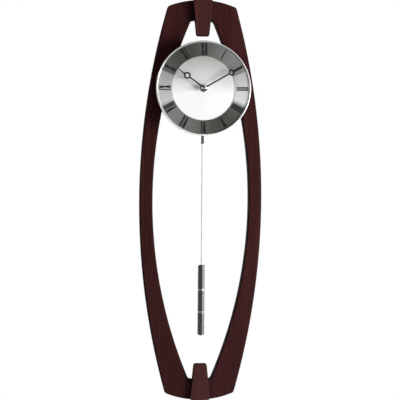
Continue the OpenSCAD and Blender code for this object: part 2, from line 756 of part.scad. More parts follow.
// Minute arbor with what turns on it: clutch spring, clip, cannon pinion, knob, hand and cap
module minute_arbor() color("#b8babc") on_dial() {
    post(knob_front - knob_t, shoulder_d, arbor_rear_r);
    post(shoulder_d, arbor_front, arbor_r);
}
module clutch_spring() color("#c9a550") on_dial()
    pipe(hub_front_d + running, shoulder_d, spring_r, arbor_rear_r);
module arbor_clip() color("#9a9c9e") on_dial()
    pipe(hub_back_d - running - clip_t, hub_back_d - running, clip_r, arbor_rear_r);
module cannon_pinion() color("#c9a550") on_dial() difference() {
    pinion(cannon_d, cannon_d + wheel_t + pinion_reach, motion_m, CANNON_N, motion_dir + 180 / CANNON_N);
    post(cannon_d - OVER, hour_wheel_d, arbor_r);
}
module minute_wheel() color("#f0ead6") on_dial() at(motion_at) difference() {
    union() {
        wheel(cannon_d, wheel_t, motion_m, MINUTE_N, motion_dir + 180);
        pinion(
            cannon_d, hour_wheel_d + wheel_t + pinion_reach, motion_m,
            MINUTE_PINION_N, motion_dir + 180 / MINUTE_PINION_N
        );
    }
    post(plate_back, in_front, stud_r + running);
}
module hour_wheel() color("#f0ead6") on_dial() difference() {
    union() {
        wheel(hour_wheel_d, wheel_t, motion_m, HOUR_N, motion_dir);
        post(hour_wheel_d, hour_hand_d + hand_t, hour_pipe_r);
    }
    post(hour_wheel_d - OVER, arbor_front + OVER, arbor_r + running);
}
module setting_knob() color("#e8e8e4") on_dial() slab(knob_front - knob_t, knob_front) difference() {
    circle(r = knob_r);
    circle(r = arbor_rear_r);
    for (k = [1 : KNOB_GROOVES]) rotate(k * 360 / KNOB_GROOVES)
        translate([knob_r + groove_out, 0]) circle(r = groove_r, $fn = 24);
}

// A hand: tapered blade, open ring, fine tip and a short tail, pointing up before it is turned
module hand_outline(len, loop_at, loop_r, hub_r) difference() {
    union() {
        circle(r = hub_r);
        polygon([
            [-hand_root_w / 2, 0], [hand_root_w / 2, 0],
            [hand_line / 2, loop_at - loop_r + loop_line / 2],
            [-hand_line / 2, loop_at - loop_r + loop_line / 2]
        ]);
        polygon([
            [-hand_line / 2, loop_at + loop_r - loop_line / 2],
            [hand_line / 2, loop_at + loop_r - loop_line / 2],
            [hand_line / 5, len], [-hand_line / 5, len]
        ]);
        translate([0, loop_at]) circle(r = loop_r);
    }
    translate([0, loop_at]) circle(r = loop_r - loop_line);
}
module hour_hand() color("#161616") on_dial() difference() {
    union() {
        slab(hour_hand_d, hour_hand_d + hand_t)
            rotate(hour_turn) hand_outline(hour_len, hour_loop_at, hour_loop_r, hand_hub_r);
        post(hub_back, hour_hand_d + hand_t, hand_hub_r);
    }
    post(hub_back - OVER, hour_hand_d + hand_t + OVER, hour_pipe_r);
}
module minute_hand() color("#161616") on_dial() slab(minute_hand_d, minute_hand_d + hand_t) difference() {
    rotate(minute_turn) hand_outline(minute_len, minute_loop_at, minute_loop_r, hand_hub_r);
    circle(r = arbor_r);
}
module hand_cap() color("#e4e4e4") on_dial() translate([0, -arbor_front, 0]) turned() intersection() {
    dome_r = (cap_r * cap_r + cap_h * cap_h) / (2 * cap_h);
    translate([0, cap_h - dome_r]) circle(r = dome_r);
    square([cap_r, cap_h]);
}

// Circuit and battery
module circuit_board() color("#2e6a3c") on_dial()
    slab(in_front - board_t, in_front) translate([board_x, board_z]) square([board_w, board_h]);
module quartz_crystal() color("#c9cacc") on_dial()
    translate([board_x + crystal_in[0], board_t + crystal_r - in_front, board_z + crystal_in[1]])
        cylinder(h = crystal_len, r = crystal_r);
module battery() color("#3a6ea5") on_dial() translate([-cell_half, -cell_d, -cell_drop]) rotate([0, 90, 0]) {
    cylinder(h = cell_len, r = cell_r);
    cylinder(h = cell_len + cell_tip, r = cell_tip_r);
}
module contact_blade(x) translate([x, -cell_d - contact_w / 2, -cell_drop - contact_w / 2])
    cube([contact_t, contact_w, contact_w]);
module battery_contact() color("#c9cacc") on_dial() contact_blade(cell_half + ease);
module battery_spring() color("#c9cacc") on_dial() {
    contact_blade(-cell_half - spring_len - contact_t);
    translate([-cell_half - spring_len, -cell_d, -cell_drop]) rotate([0, 90, 0])
        cylinder(h = spring_len - ease, r1 = spring_base_r, r2 = spring_tip_r);
}

// Pendulum
module drive_coil() color("#b5642f") on_dial() at([0, -magnet_drop])
    pipe(in_front - drive_coil_t, in_front, drive_coil_r, drive_bore_r);
module lever_pivot_pin() color("#b8babc") on_dial() at([0, -pivot_drop]) post(in_back, in_front, pivot_pin_r);
module swing_lever() color("#2c2c2e") on_dial() difference() {
    union() {
        slab(lever_d - lever_t / 2, lever_d + lever_t / 2) translate([-lever_w / 2, -lever_end])
            square([lever_w, lever_end - pivot_drop]);
        at([0, -pivot_drop]) post(lever_d - pivot_boss_t / 2, lever_d + pivot_boss_t / 2, pivot_boss_r);
    }
    at([0, -pivot_drop]) post(in_back, in_front, pivot_pin_r + running);
    at([0, -(fork_top + lever_end) / 2]) post(in_back, in_front, coupling_pin_r);
}
module drive_magnet() color("#707376") on_dial() at([0, -magnet_drop])
    post(lever_d + lever_t / 2, lever_d + lever_t / 2 + drive_magnet_t, drive_magnet_r);
module pendulum_coupling() color("#3c3c3f") on_dial() difference() {
    hull() {
        slab(lever_d - coupling_t / 2, lever_d + coupling_t / 2) translate([-lever_w / 2, -fork_top - OVER])
            square([lever_w, OVER]);
        slab(lever_d - coupling_t / 2, lever_d + coupling_t / 2)
            translate([0, lever_w / 2 - coupling_end]) circle(r = lever_w / 2, $fn = 32);
    }
    slab(lever_d - lever_t / 2, lever_d + lever_t / 2) translate([-lever_w, -lever_end])
        square([2 * lever_w, lever_end]);
    at([0, -(fork_top + lever_end) / 2]) post(in_back, in_front, coupling_pin_r);
    translate([0, -lever_d, -coupling_end - OVER]) cylinder(h = coupling_end - lever_end + OVER, r = rod_r);
}
module coupling_pin() color("#b8babc") on_dial() at([0, -(fork_top + lever_end) / 2])
    post(lever_d - coupling_t / 2, lever_d + coupling_t / 2, coupling_pin_r);
module on_rod(drop) translate([0, -lever_d, -drop]) children();
module pendulum_rod() color("#b4b6b8") on_dial() on_rod(bob_drop + bob_len)
    cylinder(h = bob_drop + bob_len - lever_end, r = rod_r);
module sleeve(k) color("#8f9194") {
    above = k == 0 ? 0 : (bob_sleeves[0] + bob_ring_t + (k == 1 ? 0 : bob_sleeves[1] + bob_ring_t));
    len = bob_sleeves[k];
    on_dial() on_rod(bob_drop + above + len) rotate_extrude() polygon([
        [rod_r, 0], [bob_r - bob_chamfer, 0], [bob_r, bob_chamfer],
        [bob_r, len - bob_chamfer], [bob_r - bob_chamfer, len], [rod_r, len]
    ]);
}
module bob_top_sleeve() sleeve(0);
module bob_middle_sleeve() sleeve(1);
module bob_bottom_sleeve() sleeve(2);
module bob_rings() color("#d8d8d6") on_dial()
    for (drop = [bob_sleeves[0], bob_sleeves[0] + bob_ring_t + bob_sleeves[1]])
        on_rod(bob_drop + drop + bob_ring_t) difference() {
            cylinder(h = bob_ring_t, r = bob_r - bob_chamfer);
            translate([0, 0, -OVER]) cylinder(h = bob_ring_t + 2 * OVER, r = rod_r);
        }
module bob_end_nut() color("#8f9194") on_dial() on_rod(bob_drop + bob_len + bob_nut_t)
    cylinder(h = bob_nut_t, r = bob_r / 2);

from_hanger() left_bow();
from_hanger() right_bow();
from_hanger() top_keystone();
from_hanger() bottom_keystone();
from_hanger() bow_dowels();
from_hanger() keystone_screws();
from_hanger() hanger_plate();
from_hanger() hanger_screws();
from_hanger() wall_pads();
from_hanger() dial_drum();
from_hanger() drum_screws();
from_hanger() dial_plate();
from_hanger() hour_ring();
from_hanger() bezel();
from_hanger() front_case();
from_hanger() rear_case();
from_hanger() case_screws();
from_hanger() threaded_bushing();
from_hanger() dial_washer();
from_hanger() fixing_nut();
from_hanger() train_plate();
from_hanger() minute_wheel_stud();
from_hanger() stator();
from_hanger() motor_coil();
from_hanger() rotor();
from_hanger() first_wheel();
from_hanger() third_wheel();
from_hanger() centre_wheel();
from_hanger() clutch_spring();
from_hanger() arbor_clip();
from_hanger() minute_arbor();
from_hanger() cannon_pinion();
from_hanger() minute_wheel();
from_hanger() hour_wheel();
from_hanger() setting_knob();
from_hanger() hour_hand();
from_hanger() minute_hand();
from_hanger() hand_cap();
from_hanger() circuit_board();
from_hanger() quartz_crystal();
from_hanger() battery();
from_hanger() battery_contact();
from_hanger() battery_spring();
from_hanger() drive_coil();
from_hanger() lever_pivot_pin();
from_hanger() swing_lever();
from_hanger() drive_magnet();
from_hanger() pendulum_coupling();
from_hanger() coupling_pin();
from_hanger() pendulum_rod();
from_hanger() bob_top_sleeve();
from_hanger() bob_middle_sleeve();
from_hanger() bob_bottom_sleeve();
from_hanger() bob_rings();
from_hanger() bob_end_nut();
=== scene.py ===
"""A tall pendulum wall clock: two dark wooden bows, a silver dial on a drum, and a long pendulum."""

import bpy
import numpy as np
from mathutils import Matrix, Vector


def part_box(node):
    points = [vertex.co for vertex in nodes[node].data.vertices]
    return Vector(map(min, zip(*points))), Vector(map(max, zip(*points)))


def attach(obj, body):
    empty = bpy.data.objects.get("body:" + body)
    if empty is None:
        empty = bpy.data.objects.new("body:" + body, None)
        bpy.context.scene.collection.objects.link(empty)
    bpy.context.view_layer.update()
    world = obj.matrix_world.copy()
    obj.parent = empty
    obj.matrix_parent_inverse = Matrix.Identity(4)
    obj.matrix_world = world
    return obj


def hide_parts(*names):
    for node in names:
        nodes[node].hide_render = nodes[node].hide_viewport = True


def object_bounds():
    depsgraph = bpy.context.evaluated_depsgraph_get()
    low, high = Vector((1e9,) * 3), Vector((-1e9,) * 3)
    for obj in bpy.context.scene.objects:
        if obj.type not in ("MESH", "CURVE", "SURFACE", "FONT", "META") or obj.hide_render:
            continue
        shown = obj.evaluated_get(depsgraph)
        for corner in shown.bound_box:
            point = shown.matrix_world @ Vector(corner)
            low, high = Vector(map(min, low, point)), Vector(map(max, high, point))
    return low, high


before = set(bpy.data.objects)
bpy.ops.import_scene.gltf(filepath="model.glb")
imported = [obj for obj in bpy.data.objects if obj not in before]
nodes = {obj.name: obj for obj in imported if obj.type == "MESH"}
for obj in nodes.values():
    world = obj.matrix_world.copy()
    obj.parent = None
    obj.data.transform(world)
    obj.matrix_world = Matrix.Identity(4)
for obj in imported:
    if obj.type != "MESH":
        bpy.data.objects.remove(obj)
cad_box = [list(corner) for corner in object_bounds()]
MM = 0.001

# ---------------------------------------------------------------------------------------------
# Bows. Each is cut from one 16 mm board, faced with dark red-brown veneer whose grain runs up
# the clock, rounded over along its edges and sprayed with satin lacquer. They meet in two
# dowelled butt joints, under the keystones.
FRAME_END_W = 113.5 * MM    # width of the sides' arcs at the frame's two ends
END_R = 155 * MM            # radius of the frame's end arcs
CORNER_R = 6 * MM           # corners of the frame's outline
RAIL_H = 35 * MM            # wood above and below the window
WINDOW_END_W = 38 * MM      # width of the window's arcs at its two ends
DRUM_LAP = 17.2 * MM        # how far the window's edge lies inside the drum's, at the dial's middle
WINDOW_CORNER_R = 5.5 * MM
FRONT_ROUND = 2.4 * MM      # rounded edges at the front
BACK_ROUND = 0.8 * MM       # eased edges at the back
FLAT_HOLD = 0.5 * MM        # a face is held flat from this far inside its rounded edge
SHARP = np.radians(35)      # faces that meet at more than this keep a hard edge
HOUSING_FIT = 0.1 * MM      # room round what is let into the wood from behind
HEAD_POCKET = np.array([(-5, -4), (5, -4), (5, 12), (-5, 12)]) * MM     # for the wall screw's head
HEAD_POCKET_D = 6 * MM
COUNTERBORE_R = 3.5 * MM


class Wire:
    """A socket of a material. Arithmetic on wires and numbers adds Math nodes."""

    def __init__(self, finish, socket):
        self.finish, self.socket = finish, socket

    def math(self, operation, *others):
        """Adds a Math node whose first input is this wire."""
        return self.finish.node("Math", {"operation": operation}, dict(enumerate((self, *others))))

    def __add__(self, other):
        return self.math("ADD", other)

    def __sub__(self, other):
        return self.math("SUBTRACT", other)

    def __rsub__(self, other):
        return self.math("MULTIPLY_ADD", -1.0, other)

    def __mul__(self, other):
        return self.math("MULTIPLY", other)

    def __pow__(self, other):
        return self.math("POWER", other)

    __radd__ = __add__
    __rmul__ = __mul__


class Finish:
    """A material being mixed. Its shader's constants are given by name when it is begun."""

    def __init__(self, name, holder=None, **constants):
        self.material = holder or bpy.data.materials.new(name)
        self.material.use_nodes = True
        self.tree = self.material.node_tree
        self.shader = self.tree.nodes.get("Principled BSDF")
        for socket, value in constants.items():
            self.shader.inputs[socket.replace("_", " ")].default_value = value

    def node(self, kind, settings=None, sockets=None, output=0):
        """Adds one node: first its settings, then the values or links of its sockets."""
        made = self.tree.nodes.new("ShaderNode" + kind)
        for key, value in (settings or {}).items():
            setattr(made, key, value)
        for key, value in (sockets or {}).items():
            if isinstance(value, Wire):
                self.tree.links.new(value.socket, made.inputs[key])
            else:
                made.inputs[key].default_value = value
        return Wire(self, made.outputs[output])

    def vector(self, operation, first, second=(0, 0, 0), output=0):
        """Vector maths on two vectors; output 1 holds a length or a dot product."""
        return self.node("VectorMath", {"operation": operation}, {0: first, 1: second}, output)

    def dot(self, first, second):
        """How far a vector reaches along another of length 1."""
        return self.vector("DOT_PRODUCT", first, second, output=1)

    def part(self, vector, axis):
        """One coordinate of a vector: X, Y or Z."""
        return self.node("SeparateXYZ", None, {0: vector}, output=axis)

    def place(self, scale=(1, 1, 1), centre=(0, 0, 0)):
        """Object coordinates in metres, counted from a centre, times a scale.

        Noise on them changes about as many times per metre as the scale says.
        """
        seen = self.node("TexCoord", output="Object")
        return self.vector("MULTIPLY", self.vector("SUBTRACT", seen, centre), scale)

    def noise(self, place, detail=3.0, roughness=0.5, distortion=0.0):
        """Smooth noise, mostly between 0.3 and 0.7, that changes once per unit of the vector."""
        return self.node("TexNoise", None, {"Vector": place, "Scale": 1.0, "Detail": detail,
                                            "Roughness": roughness, "Distortion": distortion})

    def spread(self, wire, low, high, to_low=0.0, to_high=1.0):
        """The range low to high mapped to another range, and held inside it."""
        return self.node("MapRange", None, {"Value": wire, "From Min": low, "From Max": high,
                                            "To Min": to_low, "To Max": to_high})

    def blend(self, mask, first, second):
        """A colour between two colours, by a mask from 0 to 1."""
        return self.node("Mix", {"data_type": "RGBA"}, {0: mask, 6: first, 7: second}, output=2)

    def bump(self, height, depth):
        """A normal, from a height of 0 to 1 that stands for a depth in metres."""
        return self.node("Bump", None, {"Height": height, "Distance": depth})

    def feed(self, **wires):
        """Links wires to the shader's sockets and hands over the finished material."""
        for socket, wire in wires.items():
            self.tree.links.new(wire.socket, self.shader.inputs[socket.replace("_", " ")])
        return self.material


def colour(code, factor=1.0):
    """Linear colour of a six-digit hex code, made lighter or darker by a factor."""
    parts = [int(code[i:i + 2], 16) / 255 for i in (0, 2, 4)]
    linear = [c / 12.92 if c < 0.04045 else ((c + 0.055) / 1.055) ** 2.4 for c in parts]
    return (*[min(1.0, c * factor) for c in linear], 1.0)


def put(name, points, faces):
    """Puts points and triangles into a smooth-shaded mesh with hard edges past SHARP.

    The triangles are turned round if the volume that they close comes out negative.
    """
    corners = points[faces]
    if np.einsum("ij,ij", corners[:, 0], np.cross(corners[:, 1], corners[:, 2])) < 0:
        faces = faces[:, ::-1]
    mesh = bpy.data.meshes.new(name)
    mesh.from_pydata(points.tolist(), [], faces.tolist())
    mesh.shade_smooth()
    mesh.set_sharp_from_angle(angle=SHARP)
    made = bpy.data.objects.new(name, mesh)
    bpy.context.scene.collection.objects.link(made)
    return made


def piece(name, material, body, slot, points, faces):
    """A finished piece: its mesh, material and body. The slot argument is not used."""
    made = put(name, points, faces)
    made.data.materials.append(material)
    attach(made, body)
    return made


def skin(rings):
    """Points and triangles of a surface of rings, each closed on itself, joined row by row.

    Points within a tenth of a micrometre become one, and triangles left without area go, so a
    ring whose points all coincide closes an end as a pole. Of each four points, a and b lie on
    one ring, and d and c behind them on the next.
    """
    rows, around = rings.shape[:2]
    grain = 1e-4 * MM
    places, index = np.unique(np.round(rings.reshape(-1, 3) / grain).astype(np.int64),
                              axis=0, return_inverse=True)
    a = index.reshape(rows, around)[:-1]
    d = index.reshape(rows, around)[1:]
    b, c = np.roll(a, -1, axis=1), np.roll(d, -1, axis=1)
    faces = np.concatenate([np.stack(t, -1).reshape(-1, 3) for t in ((a, b, c), (a, c, d))])
    whole = np.all(faces != np.roll(faces, 1, axis=1), axis=1)
    return places * grain, faces[whole]


def arc_stretch(centre, radius, start, end, count):
    """Points, and outward directions, along an arc between two angles in radians."""
    turn = np.linspace(start, end, count)
    out = np.stack([np.cos(turn), np.sin(turn)], -1)
    return np.array(centre) + radius * out, out


def barrel_side(side_x, side_r, end_z, end_r, round_r):
    """Right half of a barrel's outline, from its top to its bottom, with outward directions.

    It is an end arc round (0, end_z), a rounding, a side arc round (side_x, 0), and the same
    mirrored. The rounding's centre is where the two arcs, each round_r smaller, cross: it lies
    a run along the line from the side arc's centre to the end arc's, and a rise off that line.
    """
    long_r, short_r = side_r - round_r, end_r - round_r
    apart = np.hypot(side_x, end_z)
    run = (long_r ** 2 - short_r ** 2 + apart ** 2) / (2 * apart)
    rise = np.sqrt(long_r ** 2 - run ** 2)
    toward = np.array([-side_x, end_z]) / apart
    centre = np.array([side_x, 0]) + run * toward + rise * np.array([-toward[1], toward[0]])
    at_end = np.arctan2(centre[1] - end_z, centre[0])
    at_side = np.arctan2(centre[1], centre[0] - side_x)
    end = arc_stretch((0, end_z), end_r, np.pi / 2, at_end, count=24)
    corner = arc_stretch(centre, round_r, at_end, at_side, count=12)
    side = arc_stretch((side_x, 0), side_r, at_side, 0, count=90)
    upper = [np.concatenate([e, c[1:], s[1:]]) for e, c, s in zip(end, corner, side)]
    return [np.concatenate([half, half[-2::-1] * (1, -1)]) for half in upper]


def rounded(r, depth_from, depth_to):
    """Insets and depths of an edge's rounding, from the wall round to the face.

    It is a quarter circle, with one more point held on the face so that the flat stays flat.
    """
    turn = np.linspace(0, np.pi / 2, 9)
    inset = np.append(r * (1 - np.cos(turn)), r + FLAT_HOLD)
    rise = np.append(r * np.sin(turn), r)
    return inset, depth_to - np.sign(depth_to - depth_from) * (r - rise)


def edge_path(back, front, back_r, front_r):
    """Insets and depths from a board's back face, round both edges of its wall, to its front."""
    back_in, back_d = rounded(back_r, front, back)
    front_in, front_d = rounded(front_r, back, front)
    return np.concatenate([back_in[::-1], front_in]), np.concatenate([back_d[::-1], front_d])


def bow_rings(hand):
    """Cross-sections of one bow, one ring at each step along it, closed at both butt joints.

    A ring starts on the back at the window, crosses to the outer edge, comes forward and returns.
    Each of its points is an inset from the outer or the window's outline, at a depth.
    """
    low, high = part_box(hand + "_bow")
    thick, half_h = high.y - low.y, (high.z - low.z) / 2
    middle = (high.z + low.z) / 2
    half_w = max(abs(low.x), abs(high.x))
    end_z = half_h - END_R

    def arc_centre(half, at, end_half, end):
        """x of the middle, on z = 0, of an arc through (half, at) and (end_half, end)."""
        return ((half + end_half) - (end ** 2 - at ** 2) / (half - end_half)) / 2

    side_x = arc_centre(half_w, 0, FRAME_END_W / 2, half_h)
    window_end = half_h - RAIL_H
    window_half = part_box("dial_drum")[1].x - DRUM_LAP
    window_x = arc_centre(window_half, DIAL_Z - middle, WINDOW_END_W / 2, window_end)
    window_r = np.hypot(window_half - window_x, DIAL_Z - middle)
    outer, outward = barrel_side(side_x, half_w - side_x, end_z, END_R, CORNER_R)
    inner, inward = barrel_side(window_x, window_r, end_z, END_R - RAIL_H, WINDOW_CORNER_R)
    inset, depth = edge_path(0, thick, BACK_ROUND, FRONT_ROUND)
    outer_half = outer[:, None] - inset[None, :, None] * outward[:, None]
    inner_half = inner[:, None] + inset[None, :, None] * inward[:, None]
    flat = np.concatenate([outer_half, inner_half[:, ::-1]], axis=1)
    depths = np.concatenate([depth, depth[::-1]])
    side = -1 if hand == "left" else 1
    rings = np.stack([side * flat[..., 0], np.broadcast_to(-depths, flat.shape[:2]),
                      middle + flat[..., 1]], -1)
    ends = [np.broadcast_to(rings[i].mean(axis=0), rings[i].shape) for i in (0, -1)]
    return np.concatenate([[ends[0]], rings, [ends[1]]])


def plug(outline, deep):
    """A closed plug of an outline in x and z, from a depth in the wood to a millimetre behind it."""
    middle = np.broadcast_to(outline.mean(axis=0), outline.shape)
    rows = [(middle, -deep), (outline, -deep), (outline, MM), (middle, MM)]
    return skin(np.stack([np.insert(flat, 1, depth, axis=1) for flat, depth in rows]))


def counterbores(screws):
    """Round plugs over a node's four screw heads, a little deeper than the heads' faces.

    A head's middle is that of the rearmost points in its quarter, left or right, upper or lower.
    """
    mesh = nodes[screws].data
    points = np.empty(len(mesh.vertices) * 3, np.float32)
    mesh.vertices.foreach_get("co", points)
    points = points.reshape(-1, 3)
    face = points[:, 1].max()
    rim = points[points[:, 1] > face - HOUSING_FIT / 2][:, [0, 2]]
    upper = rim[:, 1] > (rim[:, 1].min() + rim[:, 1].max()) / 2
    circle = arc_stretch((0, 0), COUNTERBORE_R, 0, 2 * np.pi, count=41)[0][:-1]
    for head in [side & level for side in (rim[:, 0] > 0, rim[:, 0] < 0) for level in (upper, ~upper)]:
        middle = (rim[head].min(axis=0) + rim[head].max(axis=0)) / 2
        yield plug(middle + circle, HOUSING_FIT - face)


def cut_housings(board, plugs):
    """Cuts each plug out of a board, then marks the board's hard edges again."""
    for points, faces in plugs:
        cutter = put("housing", points, faces)
        cut = board.modifiers.new("housing", "BOOLEAN")
        cut.object = cutter
        seen = board.evaluated_get(bpy.context.evaluated_depsgraph_get())
        board.data = bpy.data.meshes.new_from_object(seen)
        board.modifiers.clear()
        bpy.data.objects.remove(cutter)
    board.data.set_sharp_from_angle(angle=SHARP)


def veneer(name, dark, light, seed):
    """Stained veneer: long streaks up the board, short dark pores, and a satin lacquer.

    The rounded edges carry painted shade: the further the surface turns from front or back, the darker.
    """
    finish = Finish(name, IOR=1.5, Specular_IOR_Level=0.02, Coat_Roughness=0.3)
    streaks = finish.noise(finish.place((260, 260, 5), (0, 0, seed)), 5.0, 0.6, 0.6)
    bands = finish.noise(finish.place((40, 40, 1.6), (seed, 0, 0)), 2.0)
    pores = finish.noise(finish.place((2600, 2600, 90), (0, seed, 0)), 2.0)
    tone = finish.spread(streaks * 0.65 + bands * 0.35, 0.36, 0.64)
    pits = finish.spread(pores, 0.55, 0.7)
    facing = finish.dot(finish.node("NewGeometry", output="Normal"), (0, 1, 0))
    stain = finish.blend(tone, colour(dark), colour(light))
    worn = finish.blend(pits * 0.4, stain, colour("140808"))
    # Painted shade on the rounded edges: darker as the surface turns from front or back.
    edge = finish.spread(facing.math("ABSOLUTE"), 0.97, 0.6)
    return finish.feed(
        Base_Color=finish.blend(edge, worn, colour("0e0505")),
        Roughness=finish.spread(streaks, 0.3, 0.7, 0.38, 0.5) + edge * 0.4,
        Coat_Weight=finish.spread(bands, 0.3, 0.7, 0.05, 0.02) * (1 - edge),
        Normal=finish.bump(1 - pits, 0.03 * MM),
    )


DIAL_Z = (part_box("hour_ring")[0].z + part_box("hour_ring")[1].z) / 2      # height of the hands' axis
bow_veneer = veneer("bow_veneer", "2f1718", "422122", 3.0)
plate_low, plate_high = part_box("hanger_plate")
plate = np.array([(plate_low.x, plate_low.z), (plate_high.x, plate_low.z),
                  (plate_high.x, plate_high.z), (plate_low.x, plate_high.z)])
plate += HOUSING_FIT * np.sign(plate - plate.mean(axis=0))
housings = [plug(plate, -plate_low.y), plug(HEAD_POCKET, HEAD_POCKET_D),
            *counterbores("keystone_screws"), *counterbores("drum_screws")]
for hand in ("left", "right"):
    bow = piece(hand + "_bow_board", bow_veneer, "clock_body", "bow_wood", *skin(bow_rings(hand)))
    cut_housings(bow, housings)
    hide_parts(hand + "_bow")

# ---------------------------------------------------------------------------------------------
# Keystones. Two tapered blocks of the same wood, a shade redder, screwed over the butt joints
# from behind. Their outer ends follow the frame's end arcs, and their edges are rounded over.
KEY_OUTER_W = 36.5 * MM
KEY_INNER_W = 22.5 * MM
KEY_TIP_R = 3.5 * MM        # corners at the outer end
KEY_CORNER_R = 3.5 * MM     # corners at the inner end
KEY_ROUND = 1.7 * MM        # rounded edges at the front


def keystone_rings(which):
    """A block from its back to its front: rings of one outline, inset by the edges' rounding.

    The outline is an end arc, two tips, two leaning sides, two round corners and a straight end.
    """
    low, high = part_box(which + "_keystone")
    length = high.z - low.z
    lean = np.arctan2((KEY_OUTER_W - KEY_INNER_W) / 2, length)
    across = np.array([np.cos(lean), -np.sin(lean)])        # straight out from a leaning side
    reach = across @ (KEY_INNER_W / 2, -length)             # how far out the side lies
    end_centre, short_r = np.array([0, -END_R]), END_R - KEY_TIP_R
    tip_turn = np.arccos((reach - KEY_TIP_R - across @ end_centre) / short_r) - lean
    tip_centre = end_centre + short_r * np.array([np.cos(tip_turn), np.sin(tip_turn)])
    corner_x = KEY_INNER_W / 2 + KEY_CORNER_R * (np.tan(lean) - 1 / np.cos(lean))
    end = arc_stretch(end_centre, END_R, np.pi / 2, tip_turn, count=12)
    tip = arc_stretch(tip_centre, KEY_TIP_R, tip_turn, -lean, count=8)
    corner = arc_stretch((corner_x, KEY_CORNER_R - length), KEY_CORNER_R, -lean, -np.pi / 2, count=10)
    run = np.linspace(0.02, 0.98, 5)[:, None]               # five more points down the side
    side = tip[0][-1] * (1 - run) + corner[0][0] * run, np.tile(across, (len(run), 1))
    right = [np.concatenate([e, t[1:], s, c]) for e, t, s, c in zip(end, tip, side, corner)]
    outline, outward = [np.concatenate([half, half[:0:-1] * (-1, 1)]) for half in right]
    inset, depth = edge_path(-high.y, -low.y, BACK_ROUND / 2, KEY_ROUND)
    flat = outline[None] - inset[:, None, None] * outward[None]
    middle = np.broadcast_to((0, -length / 2), flat[:1].shape)
    flat = np.concatenate([middle, flat, middle])
    depth = np.concatenate([depth[:1], depth, depth[-1:]])
    upward = 1 if which == "top" else -1
    outer_end = high.z if which == "top" else low.z
    return np.stack([flat[..., 0], np.broadcast_to(-depth[:, None], flat.shape[:2]),
                     outer_end + upward * flat[..., 1]], -1)


key_veneer = veneer("keystone_veneer", "3c2221", "4b2b2a", 11.0)
for which in ("top", "bottom"):
    block = piece(which + "_keystone_block", key_veneer, "clock_body", "keystone_wood",
                  *skin(keystone_rings(which)))
    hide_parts(which + "_keystone")

# ---------------------------------------------------------------------------------------------
# Fixings behind the frame: beech dowels glued across the butt joints, zinc-plated screws, a
# stamped keyhole hanger let into the wood, and four felt pads that stand on the wall.


def dress(material, *names):
    """Gives CAD pieces one material."""
    for name in names:
        nodes[name].data.materials.clear()
        nodes[name].data.materials.append(material)


def beech(name):
    """Bare turned beech: pale, with short brown flecks along the dowel, which lies across."""
    finish = Finish(name, IOR=1.5)
    grain = finish.noise(finish.place((60, 1500, 1500)), 4.0, 0.6)
    flecks = finish.spread(finish.noise(finish.place((500, 3000, 3000))), 0.58, 0.68)
    wood = finish.blend(grain, colour("b48f5f"), colour("d8ba8a"))
    return finish.feed(Base_Color=finish.blend(flecks * 0.5, wood, colour("8a5f38")),
                       Roughness=finish.spread(grain, 0.3, 0.7, 0.55, 0.7),
                       Normal=finish.bump(grain, 0.05 * MM))


def metal(name, dark, light, rough, stretch=(900, 900, 900)):
    """A worked or plated metal: fine marks, drawn out by the stretch, and a cloudy gloss."""
    finish = Finish(name, Metallic=1.0)
    marks = finish.noise(finish.place(stretch), 4.0, 0.6)
    clouds = finish.noise(finish.place((120, 120, 120)), 2.0)
    return finish.feed(Base_Color=finish.blend(finish.spread(marks * 0.5 + clouds * 0.5, 0.35, 0.65),
                                               colour(dark), colour(light)),
                       Roughness=finish.spread(clouds * 0.6 + marks * 0.4, 0.35, 0.65, rough, rough * 1.45),
                       Normal=finish.bump(marks, 0.004 * MM))


def felt(name):
    """Pressed wool felt: matted fibres of two greys with a soft surface."""
    finish = Finish(name, IOR=1.4, Roughness=0.95, Sheen_Weight=0.4, Sheen_Roughness=0.5)
    fibres = finish.noise(finish.place((2200, 900, 2200)), 5.0, 0.7, 2.0)
    wool = finish.blend(finish.spread(fibres, 0.35, 0.65), colour("262627"), colour("4a4a4b"))
    return finish.feed(Base_Color=wool, Normal=finish.bump(fibres, 0.3 * MM))


dress(beech("beech"), "bow_dowels")
dress(metal("zinc_plate", "a8a496", "d2cfc0", 0.3),
      "keystone_screws", "drum_screws", "hanger_screws", "case_screws")
dress(metal("hanger_zinc", "adb0b4", "d4d6d8", 0.32, (1600, 1600, 60)), "hanger_plate")
dress(felt("felt"), "wall_pads")

# ---------------------------------------------------------------------------------------------
# Drum: an open-backed cup moulded in black plastic with a fine spark-eroded texture. It stands
# on the bows and carries the dial in front and the movement inside.


def plastic(name, dark, light, rough, grain=3500):
    """Moulded plastic: a fine even texture, with a slight drift of colour and gloss."""
    finish = Finish(name, IOR=1.49)
    texture = finish.noise(finish.place((grain, grain, grain)), 2.0, 0.7)
    drift = finish.noise(finish.place((60, 60, 60)), 2.0)
    return finish.feed(Base_Color=finish.blend(finish.spread(drift * 0.7 + texture * 0.3, 0.35, 0.65),
                                               colour(dark), colour(light)),
                       Roughness=finish.spread(drift * 0.5 + texture * 0.5, 0.35, 0.65, rough, rough * 1.3),
                       Normal=finish.bump(texture, 0.02 * MM))


dress(plastic("drum_black", "222224", "2d2d30", 0.45), "dial_drum")

